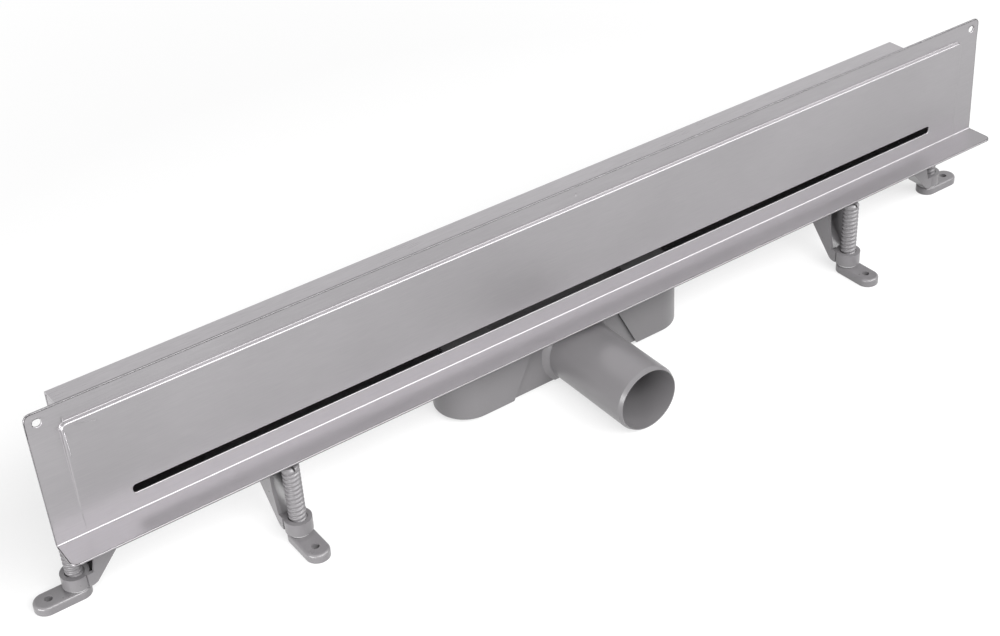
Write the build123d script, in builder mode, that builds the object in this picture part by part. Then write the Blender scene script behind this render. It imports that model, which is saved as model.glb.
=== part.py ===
"""Linear wall drain: a slotted stainless front plate with a sheet channel behind it, a moulded
trap with a 50 mm outlet below, and four screw feet.

Millimetres, +Z up, +X along the drain, -Y towards the room. The origin is the centre of the
sealing flange's upper face.
"""
import os
from math import hypot, radians, tan

from build123d import *

os.makedirs("parts", exist_ok=True)

# Front plate
plate_length = 800.0
plate_height = 96.5
plate_sheet = 1.5
panel_length = 760.0
panel_height = 82.0
panel_step = 2.5
panel_corner = 4.0
panel_draft = 20.0
ear_corner = 5.0
ear_ramp_height = 9.0
ear_hole_diameter = 5.5
ear_hole_inset = 7.7
ear_hole_drop = 7.5
centre_mark_diameter = 3.0
centre_mark_depth = 0.4
centre_mark_drop = 6.5
flange_width = 23.0
flange_corner = 5.0
fold_radius = 1.0
fold_back_share = 0.8
slot_length = 697.0
slot_height = 6.0
slot_bottom = 12.9
slot_shift = 2.4
slot_corner = 2.2

# Channel behind the plate
channel_length = 734.0
channel_depth = 62.8
channel_top = 64.8
channel_floor = -12.5
channel_sheet = 1.5
channel_fold = 1.0
front_wall_top = 9.0
end_lip = 12.0

# Outlet cut-out, neck and trap
trap_offset = 30.0
neck_end_clearance = 11.5
neck_side_clearance = 1.0
neck_weld_gap = 0.05
neck_sheet = 1.5
neck_drop = 12.0
gasket_thickness = 2.0
gasket_opening_gap = 0.5
trap_length = 212.0
trap_width = 48.0
trap_wall = 2.5
trap_bottom = -62.5
trap_bottom_round = 1.5
trap_flange_reach = 14.0
trap_flange_ledge = 1.0
trap_flange_thickness = 4.0
trap_flange_corner = 10.0
waist_depth = 2.5
waist_low_width = 114.0
waist_high_width = 66.0
trap_stud_end_margin = 7.0
trap_stud_side_margin = 12.0

# Outlet spigot
outlet_diameter = 50.0
outlet_wall = 1.8
outlet_reach = 74.5
outlet_mating_length = 55.0
outlet_draft_growth = 0.2
outlet_chamfer_length = 3.0
outlet_chamfer_depth = 1.2
outlet_flare = 4.0

# Water seal
dip_end_clearance = 18.0
dip_side_clearance = 4.0
dip_wall = 2.0
dip_bottom = -47.0
dip_flange_end_ledge = 8.0
dip_flange_side_ledge = 5.0
dip_flange_thickness = 2.5
cup_end_clearance = 8.5
cup_side_clearance = 0.5
cup_wall = 2.0
cup_rim = -31.0
cup_floor_round = 3.0

# Welded studs and their nuts
stud_diameter = 4.0
stud_end = 1.0
stud_hole_gap = 0.3
nut_width = 7.0
nut_height = 3.2
nut_bore_gap = 0.05

# Feet
foot_reach = 19.5
front_foot_inset = 118.0
end_foot_setback = 25.0
bracket_width = 18.0
bracket_wall = 2.5
bracket_base = 3.5
bracket_inset = 26.0
bracket_top_plate = 3.0
bracket_upstand = 9.0
bracket_upstand_wall = 3.0
bracket_front_reach = 5.3
bracket_knee_reach = 6.1
bracket_knee_drop = 17.0
bracket_bottom = -56.8
bracket_heel = 9.8
bracket_heel_round = 7.0
bracket_stud_inset = 4.5
bracket_stud_spacing = 11.0
collar_diameter = 19.0
collar_height = 9.8
collar_edge = 0.8
spindle_diameter = 12.0
spindle_top = -4.0
spindle_tip_chamfer = 1.2
spindle_slot_width = 1.6
spindle_slot_depth = 2.0
spindle_gap = 0.4
swivel_diameter = 8.0
bead_diameter = 9.2
bead_height = 1.4
swivel_gap = 0.3
washer_diameter = 16.0
washer_thickness = 1.4
pad_thickness = 6.7
pad_width = 17.0
pad_arm = 22.0
pad_floor = 2.5
pad_hole_distance = 20.0
pad_hole_diameter = 5.5
pad_edge_round = 2.0
pad_floor_chamfer = 0.5

# Levels and depths worked out from the sizes
panel_front = flange_width / 2
panel_back = panel_front + plate_sheet
ear_front = panel_front + panel_step
ear_back = ear_front + plate_sheet
channel_back = panel_back + channel_depth
channel_floor_top = channel_floor + channel_sheet
trap_y = panel_back + trap_offset
trap_top = channel_floor - gasket_thickness
trap_floor = trap_bottom + trap_wall
trap_flange_length = trap_length + 2 * trap_flange_reach
trap_flange_width = trap_width + 2 * trap_flange_ledge
trap_stud_spacing_x = trap_flange_length - 2 * trap_stud_end_margin
trap_stud_spacing_y = trap_flange_width - 2 * trap_stud_side_margin
neck_length = trap_length - 2 * (trap_wall + neck_end_clearance)
neck_width = trap_width - 2 * (trap_wall + waist_depth + neck_side_clearance)
dip_flange_length = neck_length + 2 * dip_flange_end_ledge
dip_flange_width = neck_width + 2 * dip_flange_side_ledge
cup_length = neck_length - 2 * (neck_sheet + cup_end_clearance)
cup_width = neck_width - 2 * (neck_sheet + cup_side_clearance)
dip_length = cup_length - 2 * (cup_wall + dip_end_clearance)
dip_width = cup_width - 2 * (cup_wall + dip_side_clearance)
front_foot_x = channel_length / 2 - front_foot_inset
outlet_mouth = panel_front - outlet_reach
outlet_height = trap_top - outlet_draft_growth - outlet_diameter / 2
washer_top = bracket_bottom - swivel_gap
washer_bottom = washer_top - washer_thickness
pad_top = washer_bottom - swivel_gap
pad_bottom = pad_top - pad_thickness
end_foot_y = panel_back + end_foot_setback


def front_plane(y):
    """Plane that faces the room at the given depth: its X runs along the drain, its Y up."""
    return Plane(origin=(0, y, 0), x_dir=(1, 0, 0), z_dir=(0, -1, 0))


def side_plane(x):
    """Plane across the drain at the given length: its X runs along +Y, its Y up."""
    return Plane(origin=(x, 0, 0), x_dir=(0, 1, 0), z_dir=(1, 0, 0))


def save(part, name):
    """Labels a finished piece and writes its file."""
    part.label = name
    export_step(part, f"parts/{name}.step")


# Front plate


def pressed_tray(length, top, corner, depth):
    """Drafted tray pressed towards the room from the ears' back face, open along its foot.

    length and top are its size at the ears' back face.
    """
    with BuildPart() as tray:
        with BuildSketch(front_plane(ear_back)) as outline:
            with BuildLine():
                Polyline(
                    (-length / 2, -top),
                    (-length / 2, top),
                    (length / 2, top),
                    (length / 2, -top),
                    close=True,
                )
            make_face()
            fillet(outline.vertices().group_by(Axis.Y)[-1], corner)
        extrude(amount=depth, taper=panel_draft)
        split(bisect_by=Plane.XY)
    return tray.part


def front_plate_section():
    """Section of ear, sloping foot, fold and sealing flange, extruded over the plate's length."""
    with BuildPart() as folded:
        with BuildSketch(side_plane(-plate_length / 2)):
            with BuildLine():
                Polyline(
                    (ear_front, plate_height),
                    (ear_front, ear_ramp_height),
                    (panel_front, 0),
                    (-panel_front, 0),
                    (-panel_front, -plate_sheet),
                    (panel_back, -plate_sheet),
                    (panel_back, 0),
                    (ear_back, ear_ramp_height),
                    (ear_back, plate_height),
                    close=True,
                )
            make_face()
        extrude(amount=plate_length)
        long_edges = folded.edges().filter_by(Axis.X)
        inner_fold = long_edges.sort_by_distance((0, panel_front, 0))[0]
        outer_fold = long_edges.sort_by_distance((0, panel_back, -plate_sheet))[0]
        fillet(inner_fold, fold_radius)
        fillet(outer_fold, fold_back_share * plate_sheet)
    return folded.part


tray_depth = panel_step + plate_sheet
tray_spread = tray_depth * tan(radians(panel_draft))
tray_length = panel_length + 2 * tray_spread
tray_top = panel_height + tray_spread

with BuildPart() as front_plate:
    add(front_plate_section())
    add(pressed_tray(tray_length, tray_top, panel_corner + tray_spread, tray_depth))
    add(
        pressed_tray(tray_length - 2 * plate_sheet, tray_top - plate_sheet, panel_corner, panel_step),
        mode=Mode.SUBTRACT,
    )
    # Drainage slot through the panel
    with BuildSketch(front_plane(panel_back)):
        with Locations((slot_shift, slot_bottom + slot_height / 2)):
            RectangleRounded(slot_length, slot_height, slot_corner)
    extrude(amount=plate_sheet, mode=Mode.SUBTRACT)
    # One fixing hole in the upper corner of each ear
    with BuildSketch(front_plane(ear_back)):
        with Locations((0, plate_height - ear_hole_drop)):
            with GridLocations(plate_length - 2 * ear_hole_inset, 1, 2, 1):
                Circle(ear_hole_diameter / 2)
    extrude(amount=plate_sheet, mode=Mode.SUBTRACT)
    # Pressed mark at the middle of the upper border
    with BuildSketch(front_plane(ear_front + centre_mark_depth)):
        with Locations((0, plate_height - centre_mark_drop)):
            Circle(centre_mark_diameter / 2 - centre_mark_depth)
    extrude(amount=centre_mark_depth, taper=-45, mode=Mode.SUBTRACT)
    ear_corners = front_plate.edges().filter_by(Axis.Y).group_by(Axis.Z)[-1]
    fillet(ear_corners, ear_corner)
    flange_corners = front_plate.edges().filter_by(Axis.Z).group_by(Axis.Y)[0]
    fillet(flange_corners, flange_corner)
save(front_plate.part, "front_plate")


# Channel


def stud_grid(spacing_x, spacing_y):
    """Sketch of the round section of welded studs at the corners of a rectangle over the trap."""
    with BuildSketch() as grid:
        with Locations((0, trap_y)):
            with GridLocations(spacing_x, spacing_y, 2, 2):
                Circle(stud_diameter / 2)
    return grid.sketch


def foot_frames():
    """Frame of each foot: origin above its spindle at flange level, X pointing out of the wall."""
    front_y = panel_back - foot_reach
    end_x = channel_length / 2 + foot_reach
    return {
        "front_left": Plane(origin=(-front_foot_x, front_y, 0), x_dir=(0, -1, 0), z_dir=(0, 0, 1)),
        "front_right": Plane(origin=(front_foot_x, front_y, 0), x_dir=(0, -1, 0), z_dir=(0, 0, 1)),
        "end_left": Plane(origin=(-end_x, end_foot_y, 0), x_dir=(-1, 0, 0), z_dir=(0, 0, 1)),
        "end_right": Plane(origin=(end_x, end_foot_y, 0), x_dir=(1, 0, 0), z_dir=(0, 0, 1)),
    }


def at_height(frame, height):
    """Horizontal plane of a foot's frame, at a height above or below the flange level."""
    return frame.offset(height)


def foot_side(frame, across=0.0):
    """Upright plane of a foot's frame through the spindle: its X points outwards, its Y up."""
    origin = frame.origin + frame.y_dir * across
    return Plane(origin=origin, x_dir=frame.x_dir, z_dir=-frame.y_dir)


bracket_stud_places = [
    (-foot_reach - bracket_stud_inset, 0),
    (-foot_reach - bracket_stud_inset - bracket_stud_spacing, 0),
]
trap_stud_length = gasket_thickness + trap_flange_thickness + nut_height + stud_end
bracket_stud_length = bracket_top_plate + nut_height + stud_end

with BuildPart() as channel_shell:
    with BuildSketch(side_plane(-channel_length / 2)):
        with BuildLine():
            Polyline(
                (panel_back, channel_top),
                (channel_back, channel_top),
                (channel_back, channel_floor),
                (panel_back, channel_floor),
                (panel_back, front_wall_top),
                (panel_back + channel_sheet, front_wall_top),
                (panel_back + channel_sheet, channel_floor_top),
                (channel_back - channel_sheet, channel_floor_top),
                (channel_back - channel_sheet, channel_top - channel_sheet),
                (panel_back, channel_top - channel_sheet),
                close=True,
            )
        make_face()
    extrude(amount=channel_length)
    bends = channel_shell.edges().filter_by(Axis.X)
    outer_bends = ShapeList()
    inner_bends = ShapeList()
    for y, z, into_y, into_z in (
        (channel_back, channel_top, -1, -1),
        (channel_back, channel_floor, -1, 1),
        (panel_back, channel_floor, 1, 1),
    ):
        outer_bends.append(bends.sort_by_distance((0, y, z))[0])
        corner = (0, y + into_y * channel_sheet, z + into_z * channel_sheet)
        inner_bends.append(bends.sort_by_distance(corner)[0])
    fillet(outer_bends, channel_fold + channel_sheet)
    fillet(inner_bends, channel_fold)
    with BuildSketch(Plane.XY.offset(channel_floor)):
        with Locations((0, trap_y)):
            SlotOverall(neck_length + 2 * neck_weld_gap, neck_width + 2 * neck_weld_gap)
    extrude(amount=channel_sheet, mode=Mode.SUBTRACT)
    # Studs welded under the floor
    with BuildSketch(Plane.XY.offset(channel_floor)):
        add(stud_grid(trap_stud_spacing_x, trap_stud_spacing_y))
    extrude(amount=-trap_stud_length)
    for frame in foot_frames().values():
        with BuildSketch(at_height(frame, channel_floor)):
            with Locations(*bracket_stud_places):
                Circle(stud_diameter / 2)
        extrude(amount=-bracket_stud_length)
save(channel_shell.part, "channel_shell")


def end_plate_outline(inset, corner=0.0):
    """Outline of an end plate between the shell's folds, inset by a distance all round.

    corner rounds the three corners that lie in the shell's bends.
    """
    with BuildSketch() as outline:
        with BuildLine():
            Polyline(
                (panel_back + inset, channel_top - channel_sheet - inset),
                (channel_back - channel_sheet - inset, channel_top - channel_sheet - inset),
                (channel_back - channel_sheet - inset, channel_floor_top + inset),
                (panel_back + channel_sheet + inset, channel_floor_top + inset),
                (panel_back + channel_sheet + inset, front_wall_top + inset),
                (panel_back + inset, front_wall_top + inset),
                close=True,
            )
        make_face()
        if corner:
            corners = outline.vertices()
            bends = ShapeList(corners.group_by(Axis.X)[-1])
            bends.append(corners.sort_by_distance((panel_back + channel_sheet, channel_floor_top, 0))[0])
            fillet(bends, corner)
    return outline.sketch


for side, name in ((-1, "end_plate_left"), (1, "end_plate_right")):
    outer_plane = side_plane(side * channel_length / 2)
    inner_plane = side_plane(side * (channel_length / 2 - channel_sheet))
    with BuildPart() as end_plate:
        with BuildSketch(outer_plane):
            add(end_plate_outline(0, channel_fold + channel_sheet))
        extrude(amount=-side * end_lip)
        outer_rim = end_plate.faces().sort_by(Axis.X)[0 if side < 0 else -1].edges()
        bent_edges = outer_rim.filter_by(lambda edge: edge.center().Y > panel_back + 2 * channel_sheet)
        fillet(bent_edges, channel_fold + channel_sheet / 2)
        with BuildSketch(inner_plane):
            add(end_plate_outline(channel_sheet))
        extrude(amount=-side * end_lip, mode=Mode.SUBTRACT)
    save(end_plate.part, name)

with BuildPart() as outlet_neck:
    with BuildSketch(Plane.XY.offset(channel_floor_top)):
        with Locations((0, trap_y)):
            SlotOverall(neck_length, neck_width)
            SlotOverall(neck_length - 2 * neck_sheet, neck_width - 2 * neck_sheet, mode=Mode.SUBTRACT)
    extrude(amount=-channel_sheet - neck_drop)
save(outlet_neck.part, "outlet_neck")


# Trap


def trap_flange_sketch():
    """Outline of the trap's flange with a hole for each welded stud."""
    with BuildSketch() as outline:
        with Locations((0, trap_y)):
            RectangleRounded(trap_flange_length, trap_flange_width, trap_flange_corner)
            with GridLocations(trap_stud_spacing_x, trap_stud_spacing_y, 2, 2):
                Circle(stud_diameter / 2 + stud_hole_gap, mode=Mode.SUBTRACT)
    return outline.sketch


def waisted_chamber(shrink, bottom, top):
    """Two round chambers joined by a waist whose sides slope inwards as they rise.

    shrink is how far the form lies inside the trap's outer walls.
    """
    with BuildPart() as chamber:
        with BuildSketch(Plane.XY.offset(bottom)):
            with Locations((0, trap_y)):
                SlotOverall(trap_length - 2 * shrink, trap_width - 2 * shrink)
        extrude(amount=top - bottom)
        half_width = trap_width / 2 - shrink
        for cut_plane in (trap_y - half_width + waist_depth, trap_y + half_width):
            with BuildSketch(front_plane(cut_plane)):
                with BuildLine():
                    Polyline(
                        (-waist_low_width / 2 - shrink, trap_bottom),
                        (waist_low_width / 2 + shrink, trap_bottom),
                        (waist_high_width / 2 + shrink, trap_top),
                        (-waist_high_width / 2 - shrink, trap_top),
                        close=True,
                    )
                make_face()
            extrude(amount=waist_depth, mode=Mode.SUBTRACT)
    return chamber.part


outlet_radius = outlet_diameter / 2
waist_front = trap_y - trap_width / 2 + waist_depth
outlet_root = waist_front + trap_wall
outlet_mating_end = outlet_mouth + outlet_chamfer_length + outlet_mating_length

with BuildPart() as trap_body:
    add(waisted_chamber(0, trap_bottom, trap_top))
    fillet(trap_body.faces().sort_by(Axis.Z)[0].edges(), trap_bottom_round)
    with BuildSketch(Plane.XY.offset(trap_top)):
        add(trap_flange_sketch())
    extrude(amount=-trap_flange_thickness)
    # Flared root of the spigot, kept inside the height of the trap
    with BuildSketch(front_plane(waist_front)):
        with Locations((0, outlet_height)):
            Circle(outlet_radius + outlet_draft_growth + outlet_flare)
        with Locations((0, (trap_bottom + trap_top) / 2)):
            Rectangle(trap_length, trap_top - trap_bottom, mode=Mode.INTERSECT)
    extrude(amount=outlet_flare, taper=45)
    add(waisted_chamber(trap_wall, trap_floor, trap_top), mode=Mode.SUBTRACT)
    # Spigot, turned about the outlet's axis: a straight mating length, then the mould's draft
    with BuildSketch(side_plane(0)):
        with BuildLine():
            Polyline(
                (outlet_root, outlet_height),
                (outlet_root, outlet_height + outlet_radius + outlet_draft_growth),
                (outlet_mating_end, outlet_height + outlet_radius),
                (outlet_mouth + outlet_chamfer_length, outlet_height + outlet_radius),
                (outlet_mouth, outlet_height + outlet_radius - outlet_chamfer_depth),
                (outlet_mouth, outlet_height),
                close=True,
            )
        make_face()
    outlet_axis = Axis((0, 0, outlet_height), (0, 1, 0))
    revolve(axis=outlet_axis)
    with BuildSketch(front_plane(outlet_root)):
        with Locations((0, outlet_height)):
            Circle(outlet_radius - outlet_wall)
    extrude(amount=outlet_root - outlet_mouth, mode=Mode.SUBTRACT)
save(trap_body.part, "trap_body")

with BuildPart() as trap_gasket:
    with BuildSketch(Plane.XY.offset(trap_top)):
        add(trap_flange_sketch())
        with Locations((0, trap_y)):
            SlotOverall(
                neck_length + 2 * gasket_opening_gap,
                neck_width + 2 * gasket_opening_gap,
                mode=Mode.SUBTRACT,
            )
    extrude(amount=gasket_thickness)
save(trap_gasket.part, "trap_gasket")

with BuildPart() as dip_tube:
    with BuildSketch(Plane.XY.offset(channel_floor_top)):
        with Locations((0, trap_y)):
            SlotOverall(dip_flange_length, dip_flange_width)
    extrude(amount=dip_flange_thickness)
    with BuildSketch(Plane.XY.offset(channel_floor_top)):
        with Locations((0, trap_y)):
            SlotOverall(dip_length, dip_width)
    extrude(amount=dip_bottom - channel_floor_top)
    with BuildSketch(Plane.XY.offset(dip_bottom)):
        with Locations((0, trap_y)):
            SlotOverall(dip_length - 2 * dip_wall, dip_width - 2 * dip_wall)
    extrude(amount=channel_floor_top + dip_flange_thickness - dip_bottom, mode=Mode.SUBTRACT)
save(dip_tube.part, "dip_tube")

with BuildPart() as trap_cup:
    with BuildSketch(Plane.XY.offset(trap_floor)):
        with Locations((0, trap_y)):
            SlotOverall(cup_length, cup_width)
    extrude(amount=cup_rim - trap_floor)
    fillet(trap_cup.faces().sort_by(Axis.Z)[0].edges(), cup_floor_round)
    with BuildSketch(Plane.XY.offset(trap_floor + cup_wall)):
        with Locations((0, trap_y)):
            SlotOverall(cup_length - 2 * cup_wall, cup_width - 2 * cup_wall)
    extrude(amount=cup_rim - trap_floor - cup_wall, mode=Mode.SUBTRACT)
save(trap_cup.part, "trap_cup")


# Nuts


def nut_section():
    """Hexagon across its flats, with the stud's hole."""
    with BuildSketch() as section:
        RegularPolygon(nut_width / 2, 6, major_radius=False)
        Circle(stud_diameter / 2 + nut_bore_gap, mode=Mode.SUBTRACT)
    return section.sketch


with BuildPart() as trap_nuts:
    with BuildSketch(Plane.XY.offset(trap_top - trap_flange_thickness)):
        with Locations((0, trap_y)):
            with GridLocations(trap_stud_spacing_x, trap_stud_spacing_y, 2, 2):
                add(nut_section())
    extrude(amount=-nut_height)
save(trap_nuts.part, "trap_nuts")

with BuildPart() as bracket_nuts:
    for frame in foot_frames().values():
        with BuildSketch(at_height(frame, channel_floor - bracket_top_plate)):
            with Locations(*bracket_stud_places):
                add(nut_section())
        extrude(amount=-nut_height)
save(bracket_nuts.part, "bracket_nuts")


# Feet


def make_bracket(frame):
    """Moulded arm: a top plate under the channel, two wings, a sloping web and a collar."""
    inner_end = -foot_reach - bracket_inset
    plate_under = channel_floor - bracket_top_plate
    collar_radius = collar_diameter / 2
    collar_top = bracket_bottom + collar_height
    web_run = inner_end + bracket_heel
    web_rise = plate_under - bracket_bottom
    web_shift = bracket_wall * hypot(web_run, web_rise) / web_rise
    base_top = bracket_bottom + bracket_base
    web_base = -bracket_heel + web_shift + web_run * bracket_base / web_rise
    with BuildPart() as bracket:
        with BuildSketch(foot_side(frame)) as profile:
            with BuildLine():
                Polyline(
                    (inner_end, channel_floor),
                    (-foot_reach + bracket_front_reach, channel_floor),
                    (-foot_reach + bracket_knee_reach, channel_floor - bracket_knee_drop),
                    (-collar_radius, collar_top),
                    (-collar_radius / 2, collar_top),
                    (-collar_radius / 2, bracket_bottom),
                    (-bracket_heel, bracket_bottom),
                    (inner_end, plate_under),
                    close=True,
                )
            make_face()
            heel = profile.vertices().sort_by_distance((-bracket_heel, bracket_bottom, 0))[0]
            fillet(heel, bracket_heel_round)
        extrude(amount=bracket_width / 2, both=True)
        # Hollow between the wings, open to the front
        with BuildSketch(foot_side(frame)):
            with BuildLine():
                Polyline(
                    (inner_end + web_shift, plate_under),
                    (0, plate_under),
                    (0, base_top),
                    (web_base, base_top),
                    close=True,
                )
            make_face()
        extrude(amount=bracket_width / 2 - bracket_wall, both=True, mode=Mode.SUBTRACT)
        # Lip against the wall
        with BuildSketch(foot_side(frame)):
            with Locations((-foot_reach + bracket_upstand_wall / 2, channel_floor + bracket_upstand / 2)):
                Rectangle(bracket_upstand_wall, bracket_upstand)
        extrude(amount=bracket_width / 2, both=True)
        # Collar and its bore
        with BuildSketch(at_height(frame, bracket_bottom)):
            Circle(collar_radius)
        collar = extrude(amount=collar_height)
        collar_rim = collar.faces().sort_by(Axis.Z)[-1].edges()
        with BuildSketch(at_height(frame, bracket_bottom)):
            Circle(spindle_diameter / 2 + spindle_gap)
        extrude(amount=collar_height, mode=Mode.SUBTRACT)
        with BuildSketch(at_height(frame, plate_under)):
            with Locations(*bracket_stud_places):
                Circle(stud_diameter / 2 + stud_hole_gap)
        extrude(amount=bracket_top_plate, mode=Mode.SUBTRACT)
    return bracket.part


def make_spindle(frame):
    """Screw turned about its axis: threaded shank, swivel neck and snap bead, with a driver slot."""
    shank = spindle_diameter / 2
    swivel = swivel_diameter / 2
    bead = bead_diameter / 2
    foot = pad_bottom + pad_floor + swivel_gap
    with BuildPart() as spindle:
        with BuildSketch(foot_side(frame)):
            with BuildLine():
                Polyline(
                    (0, spindle_top),
                    (shank - spindle_tip_chamfer, spindle_top),
                    (shank, spindle_top - spindle_tip_chamfer),
                    (shank, bracket_bottom),
                    (swivel, bracket_bottom),
                    (swivel, foot + bead_height),
                    (bead, foot + bead_height),
                    (bead, foot),
                    (0, foot),
                    close=True,
                )
            make_face()
        revolve(axis=Axis(frame.origin, (0, 0, 1)))
        with BuildSketch(at_height(frame, spindle_top)):
            Rectangle(spindle_diameter, spindle_slot_width)
        extrude(amount=-spindle_slot_depth, mode=Mode.SUBTRACT)
    return spindle.part


def make_washer(frame):
    """Thrust washer round the spindle's neck."""
    with BuildPart() as washer:
        with BuildSketch(at_height(frame, washer_bottom)):
            Circle(washer_diameter / 2)
            Circle(swivel_diameter / 2 + swivel_gap, mode=Mode.SUBTRACT)
        extrude(amount=washer_thickness)
    return washer.part


def make_pad(frame):
    """Oblong foot pad with a snap socket for the spindle and one anchor hole."""
    with BuildPart() as pad:
        with BuildSketch(at_height(frame, pad_bottom)):
            with Locations((pad_arm / 2, 0)):
                SlotCenterToCenter(pad_arm, pad_width)
        extrude(amount=pad_thickness)
        fillet(pad.faces().sort_by(Axis.Z)[-1].edges(), pad_edge_round)
        chamfer(pad.faces().sort_by(Axis.Z)[0].edges(), pad_floor_chamfer)
        with BuildSketch(at_height(frame, pad_bottom)):
            with Locations((pad_hole_distance, 0)):
                Circle(pad_hole_diameter / 2)
        extrude(amount=pad_thickness, mode=Mode.SUBTRACT)
        with BuildSketch(at_height(frame, pad_top)):
            Circle(swivel_diameter / 2 + swivel_gap)
        extrude(amount=pad_floor - pad_thickness, mode=Mode.SUBTRACT)
        with BuildSketch(at_height(frame, pad_bottom + pad_floor)):
            Circle(bead_diameter / 2 + swivel_gap)
        extrude(amount=bead_height + 2 * swivel_gap, mode=Mode.SUBTRACT)
    return pad.part


for place, foot_frame in foot_frames().items():
    save(make_bracket(foot_frame), f"bracket_{place}")
    save(make_spindle(foot_frame), f"spindle_{place}")
    save(make_washer(foot_frame), f"washer_{place}")
    save(make_pad(foot_frame), f"pad_{place}")
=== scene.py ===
from collections import namedtuple
from math import radians

import bpy
import numpy as np
from mathutils import Euler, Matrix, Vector


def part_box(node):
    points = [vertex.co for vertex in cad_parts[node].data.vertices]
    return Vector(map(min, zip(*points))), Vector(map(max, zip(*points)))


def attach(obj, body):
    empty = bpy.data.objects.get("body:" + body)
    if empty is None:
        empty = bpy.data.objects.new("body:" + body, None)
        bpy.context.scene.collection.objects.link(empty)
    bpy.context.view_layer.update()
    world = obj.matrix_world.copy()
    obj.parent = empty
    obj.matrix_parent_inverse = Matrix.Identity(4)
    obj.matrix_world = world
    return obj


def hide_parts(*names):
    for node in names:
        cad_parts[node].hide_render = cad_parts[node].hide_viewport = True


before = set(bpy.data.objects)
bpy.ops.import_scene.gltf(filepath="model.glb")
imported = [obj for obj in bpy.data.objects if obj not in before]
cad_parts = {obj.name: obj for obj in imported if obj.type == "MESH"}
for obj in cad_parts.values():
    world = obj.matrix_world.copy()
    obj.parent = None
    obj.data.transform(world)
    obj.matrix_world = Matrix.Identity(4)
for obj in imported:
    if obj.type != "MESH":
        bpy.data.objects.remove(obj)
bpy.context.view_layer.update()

bl_info = {
    "name": "Linear Wall Drain",
    "version": (1, 0, 0),
    "blender": (4, 5, 0),
    "location": "View3D > Sidebar > Drain",
    "description": "Finishes, screw threads, studio and camera for a linear wall drain",
    "category": "Object",
}

MM = 0.001
# The four feet, each with the flat direction that its spindle's driver slot runs in
FEET = {
    "front_left": (0, -1),
    "front_right": (0, -1),
    "end_left": (-1, 0),
    "end_right": (1, 0),
}


# Settings


class DrainSteelSettings(bpy.types.PropertyGroup):
    """Sizes and colours of the sheet-metal pieces."""

    plate_color: bpy.props.FloatVectorProperty(
        name="Plate colour", description="Colour of the satin front plate", subtype="COLOR",
        size=3, min=0, max=1, default=(0.328, 0.318, 0.328),
    )
    channel_color: bpy.props.FloatVectorProperty(
        name="Channel colour", description="Colour of the rolled channel sheet", subtype="COLOR",
        size=3, min=0, max=1, default=(0.44, 0.425, 0.44),
    )
    plate_roughness: bpy.props.FloatProperty(
        name="Plate roughness", description="Roughness of the satin front plate",
        min=0, max=1, default=0.45,
    )
    edge_rounding: bpy.props.FloatProperty(
        name="Edge rounding", description="Radius of the front plate's deburred edges",
        unit="LENGTH", min=0, default=0.5 * MM,
    )


class DrainPlasticSettings(bpy.types.PropertyGroup):
    """Colours of the moulded pieces."""

    trap_color: bpy.props.FloatVectorProperty(
        name="Trap colour", description="Colour of the trap and its outlet", subtype="COLOR",
        size=3, min=0, max=1, default=(0.15, 0.145, 0.15),
    )
    foot_color: bpy.props.FloatVectorProperty(
        name="Foot colour", description="Colour of the brackets, screws and pads",
        subtype="COLOR", size=3, min=0, max=1, default=(0.161, 0.155, 0.161),
    )


class DrainThreadSettings(bpy.types.PropertyGroup):
    """Sizes of the screw threads."""

    pitch: bpy.props.FloatProperty(
        name="Pitch", description="Rise of the spindle's thread in one turn", unit="LENGTH",
        min=0.001, default=3.5 * MM,
    )
    depth: bpy.props.FloatProperty(
        name="Depth", description="Depth of the spindle's thread", unit="LENGTH",
        min=0, default=1.0 * MM,
    )


class DrainStudioSettings(bpy.types.PropertyGroup):
    """Floor, lamps and camera."""

    floor_color: bpy.props.FloatVectorProperty(
        name="Floor colour", description="Colour of the studio floor", subtype="COLOR",
        size=3, min=0, max=1, default=(0.32, 0.32, 0.32),
    )
    fill: bpy.props.FloatProperty(
        name="Fill", description="Brightness of the light from all round", min=0, default=0.1,
    )
    key_power: bpy.props.FloatProperty(
        name="Key power", description="Power in watts that each soft box gives its share of",
        min=0, default=37.0,
    )
    lens: bpy.props.FloatProperty(
        name="Lens", description="Focal length of the camera in millimetres",
        min=1, default=61.951,
    )


# Nodes


def feed(tree, socket, value):
    """Links an input to a socket, or sets it to a number."""
    if isinstance(value, bpy.types.NodeSocket):
        tree.links.new(value, socket)
    else:
        socket.default_value = value


def math_node(tree, operation, first, second):
    """Math node on two values, each a number or a socket."""
    node = tree.nodes.new("ShaderNodeMath")
    node.operation = operation
    feed(tree, node.inputs[0], first)
    feed(tree, node.inputs[1], second)
    return node.outputs["Value"]


def map_range(tree, value, source, target):
    """Map Range node that carries one range of a socket onto another, and clamps it."""
    node = tree.nodes.new("ShaderNodeMapRange")
    limits = zip(("From Min", "From Max", "To Min", "To Max"), (*source, *target))
    for label, limit in limits:
        node.inputs[label].default_value = limit
    tree.links.new(value, node.inputs["Value"])
    return node.outputs["Result"]


# Shader groups

# The part of a noise value's range that most of it lies in
NOISE_MIDDLE = (0.3, 0.7)
STREAKS = {"scale": 1.0, "detail": 4.0}
SHEET_CLOUDS = {"scale": 9.0, "detail": 3.0}
MOULDED_CLOUDS = {"scale": 28.0, "detail": 2.0}
SCUFFS = {"scale": 140.0, "detail": 6.0}
GRAIN_DETAIL = 2.0
GROUP_OUTPUTS = {
    "Color": "NodeSocketColor",
    "Roughness": "NodeSocketFloat",
    "Height": "NodeSocketFloat",
}


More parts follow.
